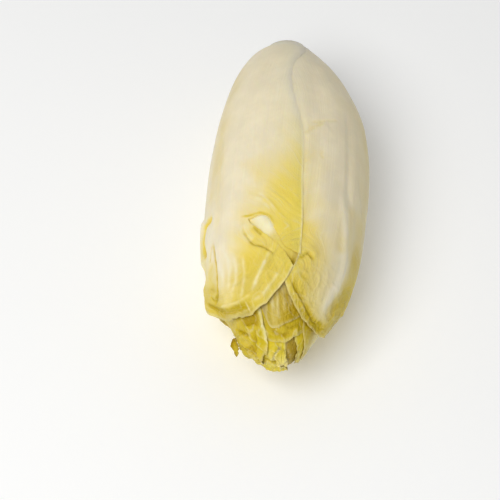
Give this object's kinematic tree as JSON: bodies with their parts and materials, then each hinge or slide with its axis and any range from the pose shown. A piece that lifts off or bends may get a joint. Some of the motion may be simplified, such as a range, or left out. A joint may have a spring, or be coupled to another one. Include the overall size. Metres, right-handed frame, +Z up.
{
  "type": "belgian endive",
  "caption": "Whole head of Belgian endive lying on its side: pale overlapping leaves round a solid core, closing to a yellow, slightly ragged tip.",
  "frame": {"origin": "on the surface the head lies on, under the middle of its bounding box", "axes": "+Y along the head's axis towards the cut stem end, -Y towards the leaf tips, +Z up, +X to the right of someone looking from the tip towards the stem"},
  "size_m": [0.0668, 0.156, 0.0635],
  "materials": {
    "outer_leaf": "smooth waxy leaf, cream with a yellow margin",
    "middle_leaf": "smooth thin leaf, pale yellow with a white rib",
    "inner_leaf": "thin crinkled leaf, yellow",
    "heart_leaf": "tender folded leaf, pale yellow",
    "core": "cut root crown, cream with a browned cut face"
  },
  "bodies": {
    "root": {"outer_leaf_under": "outer_leaf", "outer_leaf_left": "outer_leaf", "outer_leaf_right_back": "outer_leaf", "outer_leaf_right": "outer_leaf", "outer_leaf_left_back": "outer_leaf", "middle_leaf_top": "middle_leaf", "middle_leaf_left": "middle_leaf", "middle_leaf_right": "middle_leaf", "middle_leaf_under_left": "middle_leaf", "middle_leaf_under_right": "middle_leaf", "inner_leaf_top": "inner_leaf", "inner_leaf_right": "inner_leaf", "inner_leaf_left": "inner_leaf", "inner_leaf_under_left": "inner_leaf", "inner_leaf_under_right": "inner_leaf", "heart_leaf_top": "heart_leaf", "heart_leaf_left": "heart_leaf", "heart_leaf_right": "heart_leaf", "heart_leaf_under": "heart_leaf", "bud_leaf_top": "heart_leaf", "bud_leaf_left": "heart_leaf", "bud_leaf_under": "heart_leaf", "heart_bud": "heart_leaf", "core": "core"}
  },
  "joints": []
}
